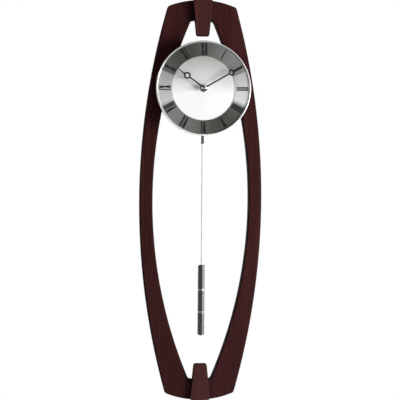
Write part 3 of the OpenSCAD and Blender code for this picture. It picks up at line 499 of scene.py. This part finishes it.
# ---------------------------------------------------------------------------------------------
# Dial: a spun silver plate under matt lacquer, an aluminium hour ring brushed round and round,
# and a thin chromed bezel that clasps both to the drum. Its numerals are printed in black.
RING_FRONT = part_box("hour_ring")[0].y
AXIS = (0, 0, DIAL_Z)
NUMERAL_FOOT = 57.7 * MM    # radius at the numerals' feet
NUMERAL_H = 20 * MM
INK_T = 0.08 * MM
STEM = 1.8 * MM             # upright strokes
BROAD = 2.5 * MM            # thick slanting strokes
HAIR = 1.7 * MM             # thin slanting strokes
SERIF_W = 2.3 * MM
SERIF_H = 0.4 * MM
LETTER_GAP = 0.6 * MM
V_W = 6.2 * MM              # width of a V
V_FOOT = 0.55 * V_W         # where its two strokes meet
X_W = 6.3 * MM              # width of an X
GROOVE_SLOPE = 1.2          # spread of the brushed grooves' slopes
FAN_TOP = (0.921, 0.928)    # sharp upper edges of the painted bright fans: cosines of their angle from level
FAN_FOOT = (0.9, 0.945)     # their soft lower edges
SHADE_H = 68 * MM           # the painted shade on the silver is darkest where height plus a quarter of radius reach this


def round_axis(finish):
    """Distance from the hands' axis in metres, and the direction away from it."""
    flat = finish.place((1, 0, 1), AXIS)
    return finish.vector("LENGTH", flat, output=1), finish.vector("NORMALIZE", flat)


def strokes_round(finish, outwards, around=5.0):
    """Noise in long thin arcs round the hands' axis, as a brush leaves on a turning disc.

    It changes so many times per metre outwards, and so many times per radian around.
    """
    radius, away = round_axis(finish)
    turned = finish.node("VectorMath", {"operation": "SCALE"}, {0: away, "Scale": around})
    lift = finish.node("CombineXYZ", None, {1: radius * outwards})
    return finish.noise(finish.vector("ADD", turned, lift), 2.0)


def wiping(finish):
    """The faint cloudy marks that a cloth leaves on plating."""
    return finish.noise(finish.place((300, 300, 300)), 4.0, 0.6, 1.0)


def brushed_ring(name):
    """Aluminium brushed in circles, under clear lacquer.

    Each hair-fine groove tips the surface towards or away from the axis: the normal is the
    ring's own plus the outward direction times a slope that changes every few hundredths of
    a millimetre. Two bright fans, left and right, are a painted reflection, with sharp upper
    edges, soft lower edges and a painted highlight low down. Between them the colour is painted
    darkest along one diagonal, as a dark reflection.
    """
    finish = Finish(name, Specular_IOR_Level=0.1)
    _, away = round_axis(finish)
    grooves = strokes_round(finish, 26000.0)
    slope = (grooves - 0.5) * GROOVE_SLOPE
    tilt = finish.node("CombineXYZ", None, {0: slope, 1: slope, 2: slope})
    tipped = finish.vector("ADD", finish.node("NewGeometry", output="Normal"),
                           finish.vector("MULTIPLY", away, tilt))
    bands = finish.spread(strokes_round(finish, 900.0, 3.0), 0.35, 0.65, 0.9, 1.1)
    across = finish.dot(away, (1, 0, 0)).math("ABSOLUTE")
    upward = finish.dot(away, (0, 0, 1))
    # Painted reflection: two bright fans, left and right, with sharp upper and soft lower edges.
    sharp, soft = finish.spread(across, *FAN_TOP), finish.spread(across, *FAN_FOOT)
    fans = soft + (sharp - soft) * finish.spread(upward, -0.05, 0.05)
    # Painted reflection: the ring's colour is darkest along one diagonal, where no lamp shows.
    diagonal = finish.dot(away, (0.866, 0, 0.5))
    worked = finish.blend(diagonal * diagonal * bands, colour("504e4b"), colour("8a8c89"))
    # Painted highlight: the fans grow brighter towards their lower side.
    glow = finish.dot(away, (0.15, 0, -0.99))
    bright = finish.blend(finish.spread(glow, -0.5, 0.5) * bands, colour("a3a6a4"), colour("dcdedd"))
    return finish.feed(Base_Color=finish.blend(fans, worked, bright),
                       Metallic=finish.spread(fans, 0.0, 1.0, 0.3, 0.15),
                       Roughness=finish.spread(bands, 0.9, 1.1, 0.34, 0.42),
                       Normal=finish.vector("NORMALIZE", tipped))


def spun_silver(name):
    """Silver lacquer on a spun plate, faintly ringed, with painted shade towards the top and the rim."""
    finish = Finish(name, IOR=1.5, Specular_IOR_Level=0.1)
    rings = strokes_round(finish, 1500.0, 2.0)
    radius, _ = round_axis(finish)
    height = finish.part(finish.place(centre=AXIS), "Z")
    # Painted shade: the silver darkens upwards and a little towards the rim.
    tone = finish.spread(height + radius * 0.25, 0.0, SHADE_H) ** 0.85
    shade = finish.blend(tone, colour("fbfbfa"), colour("a7a9a5"))
    ringed = finish.blend(finish.spread(rings, 0.4, 0.6) * 0.08, shade, colour("a9a9a9"))
    return finish.feed(Base_Color=ringed,
                       Roughness=finish.spread(rings, 0.3, 0.7, 0.4, 0.5),
                       Normal=finish.bump(rings, 0.004 * MM))


def bright_rim(name):
    """Bright plating on the bezel, with a painted reflection: silvery white below, greyer over the top."""
    finish = Finish(name)
    _, away = round_axis(finish)
    upward = finish.dot(away, (0, 0, 1))
    wipes = wiping(finish)
    # Painted reflection: the tint turns greyer over the top than below.
    tint = finish.blend(finish.spread(upward, 0.25, 0.75), colour("fcfcfb"), colour("c2c4c2"))
    plated = finish.blend(finish.spread(wipes, 0.3, 0.7) * 0.1, tint, colour("d0d0ce"))
    return finish.feed(Base_Color=plated,
                       Metallic=finish.spread(wipes, 0.3, 0.7, 0.25, 0.35),
                       Roughness=finish.spread(wipes, 0.35, 0.65, 0.12, 0.2))


def chrome(name, tint, rough):
    """Polished plating of a pale tint, a little duller where it was wiped."""
    finish = Finish(name, Metallic=1.0)
    wipes = wiping(finish)
    wiped = finish.blend(finish.spread(wipes, 0.3, 0.7), colour(tint, 0.92), colour(tint))
    return finish.feed(Base_Color=wiped,
                       Roughness=finish.spread(wipes, 0.35, 0.65, rough, rough * 1.8))


def letter(kind):
    """Width and strokes of one Roman numeral letter, in a serif face, from its own left edge.

    A stroke is the middle at the foot and at the head, half the width, and the heights of foot
    and head. A slanting stroke's middle keeps off the letter's edges by a little more than half
    its width if it is thick, and by its width if it is thin. Serifs are short flat strokes.
    """
    if kind == "I":
        wide, lines = STEM, [(STEM / 2, STEM / 2, STEM)]
    elif kind == "V":
        wide, lines = V_W, [(V_FOOT, BROAD * 0.55, BROAD), (V_FOOT, V_W - HAIR, HAIR)]
    else:
        wide, lines = X_W, [(X_W - BROAD * 0.6, BROAD * 0.6, BROAD), (HAIR, X_W - HAIR, HAIR)]
    strokes = [(foot, head, width / 2, 0, NUMERAL_H) for foot, head, width in lines]
    for foot, head, width in lines:
        half = max(width, SERIF_W) / 2
        if kind != "V":
            strokes.append((foot, foot, half, 0, SERIF_H))
        strokes.append((head, head, half, NUMERAL_H - SERIF_H, NUMERAL_H))
    return wide, strokes


def numeral_strokes():
    """Every stroke of the twelve numerals: hour, then middles, half width and heights."""
    rows = []
    for hour, word in enumerate("I II III IIII V VI VII VIII IX X XI XII".split(), start=1):
        letters = [letter(kind) for kind in word]
        total = sum(wide for wide, _ in letters) + LETTER_GAP * (len(word) - 1)
        left = -total / 2
        for wide, strokes in letters:
            rows += [(hour, foot + left, head + left, half, low, high)
                     for foot, head, half, low, high in strokes]
            left += wide + LETTER_GAP
    return np.array(rows)


def printed_numerals():
    """A thin prism for each stroke, standing on the ring with its feet towards the axis.

    A corner is the axis plus the outward direction times its radius, plus the direction round
    the dial times its sideways place. Thin strokes lie a hair lower than thick ones.
    """
    hour, foot, head, half, low, high = numeral_strokes().T
    turn = hour * np.pi / 6
    outward = np.stack([np.sin(turn), 0 * turn, np.cos(turn)], -1)
    sideways = np.stack([np.cos(turn), 0 * turn, -np.sin(turn)], -1)
    across = np.stack([foot - half, foot + half, head + half, head - half], -1)
    radius = NUMERAL_FOOT + np.stack([low, low, high, high], -1)
    flat = radius[..., None] * outward[:, None] + across[..., None] * sideways[:, None] + AXIS
    lift = INK_T * np.where(half < STEM / 2, 0.9, 1.0)[:, None]
    back, front = flat.copy(), flat.copy()
    back[..., 1] = RING_FRONT
    front[..., 1] = RING_FRONT - lift
    points = np.concatenate([back, front], axis=1).reshape(-1, 3)
    walls = [(i, (i + 1) % 4, (i + 1) % 4 + 4, i + 4) for i in range(4)]
    quads = np.array([(3, 2, 1, 0), (4, 5, 6, 7), *walls])
    prism = np.concatenate([quads[:, [0, 1, 2]], quads[:, [0, 2, 3]]])
    return points, (prism[None] + 8 * np.arange(len(hour))[:, None, None]).reshape(-1, 3)


def black_lacquer(name):
    """Satin black: a thin even coat with a slight orange-peel."""
    finish = Finish(name, IOR=1.5, Specular_IOR_Level=0.3)
    peel = finish.noise(finish.place((700, 700, 700)), 2.0)
    black = finish.blend(finish.spread(peel, 0.3, 0.7), colour("0e0e0f"), colour("171718"))
    return finish.feed(Base_Color=black,
                       Roughness=finish.spread(peel, 0.3, 0.7, 0.34, 0.44),
                       Normal=finish.bump(peel, 0.01 * MM))


hands_black = black_lacquer("satin_black")
dress(spun_silver("dial_silver"), "dial_plate")
dress(brushed_ring("ring_brushed"), "hour_ring")
dress(bright_rim("bezel_chrome"), "bezel")
piece("dial_numerals", hands_black, "clock_body", "hands_black", *printed_numerals())

# ---------------------------------------------------------------------------------------------
# Hands and what holds them: stamped black hands with open rings, a domed cap, and the nickel
# nut and washer that clamp the movement's brass bushing to the dial.


def cap_painted_reflection(name):
    """Polished cap with a painted reflection of a room: bright, but dark below and along one diagonal."""
    finish = Finish(name, Metallic=1.0)
    spot = finish.place(centre=AXIS)
    height = finish.part(spot, "Z")
    slant = finish.dot(spot, (0.8, 0, 0.6)).math("ABSOLUTE")
    # Painted reflection: dark below the axis and along one diagonal.
    shade = finish.spread(height, 0, -3 * MM).math("MAXIMUM", finish.spread(slant, 1.4 * MM, 0.5 * MM))
    wipes = wiping(finish)
    return finish.feed(Base_Color=finish.blend(shade * 0.9, colour("e8e8e6"), colour("20201e")),
                       Roughness=finish.spread(wipes, 0.3, 0.7, 0.08, 0.14))


dress(hands_black, "hour_hand", "minute_hand")
dress(cap_painted_reflection("cap_chrome"), "hand_cap")
dress(chrome("nut_nickel", "dcdbd6", 0.16), "fixing_nut", "dial_washer")
dress(metal("turned_brass", "b38a3c", "dcb867", 0.22, (400, 4000, 400)),
      "threaded_bushing", "cannon_pinion", "clutch_spring")

# ---------------------------------------------------------------------------------------------
# Movement case: two white moulded shells screwed together, with the battery bay and the
# setting knob at the back.
dress(plastic("case_white", "e2e2de", "efefec", 0.38), "front_case")
dress(plastic("cover_white", "d2d2cd", "dfdfdb", 0.4, 2600), "rear_case")
dress(plastic("knob_white", "dcdcd8", "e9e9e6", 0.3), "setting_knob")

# ---------------------------------------------------------------------------------------------
# Going train and motion work: a ferrite rotor steps acetal wheels between the case and a
# stamped steel plate; steel arbors carry them.
dress(metal("plate_steel", "b2b2ae", "cfcfcb", 0.3, (1500, 900, 80)), "train_plate")
dress(metal("ground_steel", "aaacb0", "c6c8cc", 0.2, (600, 3500, 600)),
      "minute_arbor", "minute_wheel_stud", "lever_pivot_pin", "coupling_pin")
dress(metal("stator_steel", "7e8186", "989ba0", 0.38, (300, 6000, 300)), "stator", "arbor_clip")
dress(metal("ferrite", "45474b", "5a5c60", 0.5), "rotor")
dress(plastic("acetal_yellow", "cdb56c", "dcc784", 0.3), "first_wheel", "third_wheel", "centre_wheel")
dress(plastic("acetal_cream", "e4dcc4", "f1ebd8", 0.3), "minute_wheel", "hour_wheel")

# ---------------------------------------------------------------------------------------------
# Electrics: two coils of enamelled copper, a green circuit board with its quartz crystal, one
# AA cell in a plain wrap, and its tinned contact and spring.


def windings(name, along):
    """Enamelled wire: fine turns side by side along one axis of the coil."""
    finish = Finish(name, Metallic=0.8)
    turns = finish.node("TexWave", {"bands_direction": along, "wave_profile": "SIN"},
                        {"Vector": finish.place((1000, 1000, 1000)), "Scale": 1.3, "Distortion": 0.2})
    return finish.feed(Base_Color=finish.blend(turns, colour("7c3c18"), colour("c8753c")),
                       Roughness=finish.spread(turns, 0.0, 1.0, 0.45, 0.28),
                       Normal=finish.bump(turns, 0.08 * MM))


def solder_resist(name):
    """Green resist over faint copper tracks."""
    finish = Finish(name, IOR=1.5, Coat_Roughness=0.1)
    tracks = finish.node("TexBrick", {"offset": 0.5},
                         {"Vector": finish.place((400, 400, 400)), "Scale": 1.0, "Mortar Size": 0.08},
                         output=1)
    mottle = finish.noise(finish.place((800, 800, 800)), 2.0)
    resist = finish.blend(tracks, colour("2a6238"), colour("3f8450"))
    green = finish.blend(finish.spread(mottle, 0.3, 0.7) * 0.25, resist, colour("1f4f2b"))
    return finish.feed(Base_Color=green,
                       Roughness=finish.spread(mottle, 0.3, 0.7, 0.3, 0.42),
                       Coat_Weight=finish.spread(mottle, 0.3, 0.7, 0.2, 0.35),
                       Normal=finish.bump(tracks, 0.05 * MM))


def cell_wrap(name):
    """A printed sleeve: blue with one dark band towards the plus end, bare steel at the tips."""
    finish = Finish(name, IOR=1.5)
    low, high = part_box("battery")
    along = finish.part(finish.place((1 / (high.x - low.x), 1, 1), (low.x, 0, 0)), "X")
    band = finish.spread(along, 0.76, 0.77) * finish.spread(along, 0.9, 0.89)
    tips = finish.spread(along, 0.955, 0.96) + finish.spread(along, 0.02, 0.015)
    scuffs = finish.noise(finish.place((200, 1500, 1500)), 4.0, 0.6)
    printed = finish.blend(band, colour("33659a"), colour("1d2f47"))
    worn = finish.blend(finish.spread(scuffs, 0.6, 0.75) * 0.3, printed, colour("7a94ae"))
    return finish.feed(Base_Color=finish.blend(tips, worn, colour("c6c7c9")),
                       Metallic=finish.spread(tips, 0.0, 1.0, 0.15, 1.0),
                       Roughness=finish.spread(scuffs, 0.3, 0.7, 0.22, 0.36),
                       Normal=finish.bump(scuffs, 0.006 * MM))


dress(windings("motor_copper", "X"), "motor_coil")
dress(windings("drive_copper", "Y"), "drive_coil")
dress(solder_resist("solder_resist"), "circuit_board")
dress(metal("tinned_steel", "b2b4b8", "d2d4d8", 0.24),
      "quartz_crystal", "battery_contact", "battery_spring")
dress(cell_wrap("cell_wrap"), "battery")

# ---------------------------------------------------------------------------------------------
# Pendulum: a plastic lever with a magnet swings on a pin in the case; a grey coupling hangs on
# it, then a drawn steel rod, and a bob of three brushed sleeves parted by bright rings.


def drawn_wire(name):
    """Drawn steel gone dull: faint lines along the wire, with an even, soft gloss."""
    finish = Finish(name, Metallic=0.3)
    lines = finish.noise(finish.place((900, 900, 12)), 2.0)
    return finish.feed(Base_Color=finish.blend(lines, colour("b2b4b5"), colour("bec0c1")),
                       Roughness=finish.spread(lines, 0.3, 0.7, 0.55, 0.62))


def brushed_sleeve(name):
    """Brushed steel with a painted reflection of a dim room: dark in front, paler at the sides."""
    finish = Finish(name, Metallic=1.0)
    marks = finish.noise(finish.place((300, 300, 5000)), 4.0, 0.6)
    facing = finish.dot(finish.node("TexCoord", output="Normal"), (-0.13, -0.99, 0))
    core = finish.blend(marks, colour("464646"), colour("545454"))
    # Painted reflection: the sleeve's colour is dark where it faces the front and pale at the sides.
    return finish.feed(Base_Color=finish.blend(finish.spread(facing, 0.78, 0.35), core, colour("9c9c9a")),
                       Roughness=finish.spread(marks, 0.35, 0.65, 0.36, 0.5),
                       Normal=finish.bump(marks, 0.004 * MM))


dress(plastic("lever_black", "242426", "313134", 0.4), "swing_lever")
dress(metal("magnet_nickel", "65686c", "84878b", 0.3), "drive_magnet")
dress(plastic("coupling_grey", "404043", "515155", 0.42), "pendulum_coupling")
dress(drawn_wire("drawn_steel"), "pendulum_rod")
dress(brushed_sleeve("bob_steel"),
      "bob_top_sleeve", "bob_middle_sleeve", "bob_bottom_sleeve", "bob_end_nut")
dress(chrome("ring_chrome", "dededc", 0.25), "bob_rings")

# ---------------------------------------------------------------------------------------------
# Studio: a pale floor below the clock, a white surround, and soft boxes to the right and left,
# overhead and behind. The surround is white behind the clock and dim in front of it, where the
# metals look.
low_z, high_z = cad_box[0][2], cad_box[1][2]
FLOOR_Z = low_z - 0.12      # a little below the clock's lowest point
FLOOR_R = 3.0
SHADE_R = 0.35              # beyond this the floor fades, and at twice this it is plain white
CAMERA_AZIMUTH = np.radians(-7.28)
CAMERA_ROLL = np.radians(0.46)
CAMERA_DISTANCE = 2.139     # metres from the clock's middle


def seen_directly(finish):
    """1 for what the camera sees, directly or in a mirror or glass, and 0 for other light."""
    camera, gloss, glass = [finish.node("LightPath", output="Is " + kind + " Ray")
                            for kind in ("Camera", "Glossy", "Transmission")]
    return finish.spread(camera + gloss + glass, 0, 1)


def studio_floor():
    """A pale round floor. It shows a shadow near the clock, fades to plain white further out, and
    is clear from below.
    """
    finish = Finish("pale_floor", Base_Color=colour("e9e9e7"), Roughness=0.9)
    seen = seen_directly(finish)
    distance = finish.vector("LENGTH", finish.place((1, 1, 0)), output=1)
    far = finish.spread(distance, SHADE_R, 2 * SHADE_R, 0.45, 1.0)
    white = finish.node("Emission", None, {0: (1, 1, 1, 1), 1: 1.0})
    matt = Wire(finish, finish.shader.outputs[0])
    mixed = finish.node("MixShader", None, {0: seen * far, 1: matt, 2: white})
    below = finish.node("NewGeometry", output="Backfacing")
    mixed = finish.node("MixShader", None, {0: below, 1: mixed, 2: finish.node("BsdfTransparent")})
    finish.tree.links.new(mixed.socket, finish.tree.nodes["Material Output"].inputs[0])
    turn = np.linspace(0, 2 * np.pi, 96, endpoint=False)
    ring = np.stack([FLOOR_R * np.cos(turn), FLOOR_R * np.sin(turn), turn * 0 + FLOOR_Z], -1)
    mesh = bpy.data.meshes.new("floor")
    mesh.from_pydata(ring.tolist(), [], [list(range(len(turn)))])
    mesh.materials.append(finish.material)
    floor = bpy.data.objects.new("floor", mesh)
    bpy.context.scene.collection.objects.link(floor)


def studio_world(ambient, dim):
    """White to the camera; white behind the clock and dim in front for gloss; else ambient."""
    world = bpy.data.worlds.new("studio")
    bpy.context.scene.world = world
    finish = Finish("studio", holder=world)
    tree = finish.tree
    tree.nodes.clear()
    behind = finish.spread(finish.part(finish.node("TexCoord", output="Generated"), "Y"), -0.1, 0.25)
    camera = finish.node("LightPath", output="Is Camera Ray")
    gloss = finish.spread(finish.node("LightPath", output="Is Glossy Ray")
                          + finish.node("LightPath", output="Is Transmission Ray"), 0, 1)
    level = gloss * finish.spread(behind, 0, 1, dim, 1.0) + (1 - gloss) * ambient
    level = camera + (1 - camera) * level
    sky = finish.node("Background", None, {0: (1, 1, 1, 1), 1: level})
    out = tree.nodes.new("ShaderNodeOutputWorld")
    tree.links.new(sky.socket, out.inputs[0])


def soft_box(name, place, width, height, watts):
    """A rectangular lamp at a place, turned to face the dial. Its sides are in metres."""
    light = bpy.data.lights.new(name, "AREA")
    light.shape = "RECTANGLE"
    light.size, light.size_y, light.energy = width, height, watts
    lamp = bpy.data.objects.new(name, light)
    bpy.context.scene.collection.objects.link(lamp)
    lamp.location = place
    lamp.rotation_euler = (Vector(AXIS) - Vector(place)).to_track_quat("-Z", "Y").to_euler()
    lamp.visible_camera = False


studio_floor()
studio_world(ambient=0.05, dim=0.06)
soft_box("key_right", (1.9, -1.15, DIAL_Z - 0.35), width=1.3, height=1.2, watts=92)
soft_box("side_left", (-1.6, -1.2, DIAL_Z), width=0.7, height=0.8, watts=3.5)
soft_box("overhead", (0.5, -0.9, DIAL_Z + 1.6), width=1.0, height=0.6, watts=5)
soft_box("behind", (-0.7, 2.0, DIAL_Z + 0.5), width=1.2, height=1.2, watts=50)

camera = bpy.data.objects.new("camera", bpy.data.cameras.new("camera"))
bpy.context.scene.collection.objects.link(camera)
camera.data.lens = 109.2
camera.data.sensor_width = 36
camera.data.shift_x = 0.0004
camera.data.shift_y = -0.0005
camera.matrix_world = (Matrix.Translation((0, 0, (low_z + high_z) / 2))
                       @ Matrix.Rotation(CAMERA_AZIMUTH, 4, "Z")
                       @ Matrix.Translation((0, -CAMERA_DISTANCE, 0)) @ Matrix.Rotation(np.pi / 2, 4, "X")
                       @ Matrix.Rotation(CAMERA_ROLL, 4, "Z"))
bpy.context.scene.camera = camera
bpy.context.scene.view_settings.view_transform = "Standard"
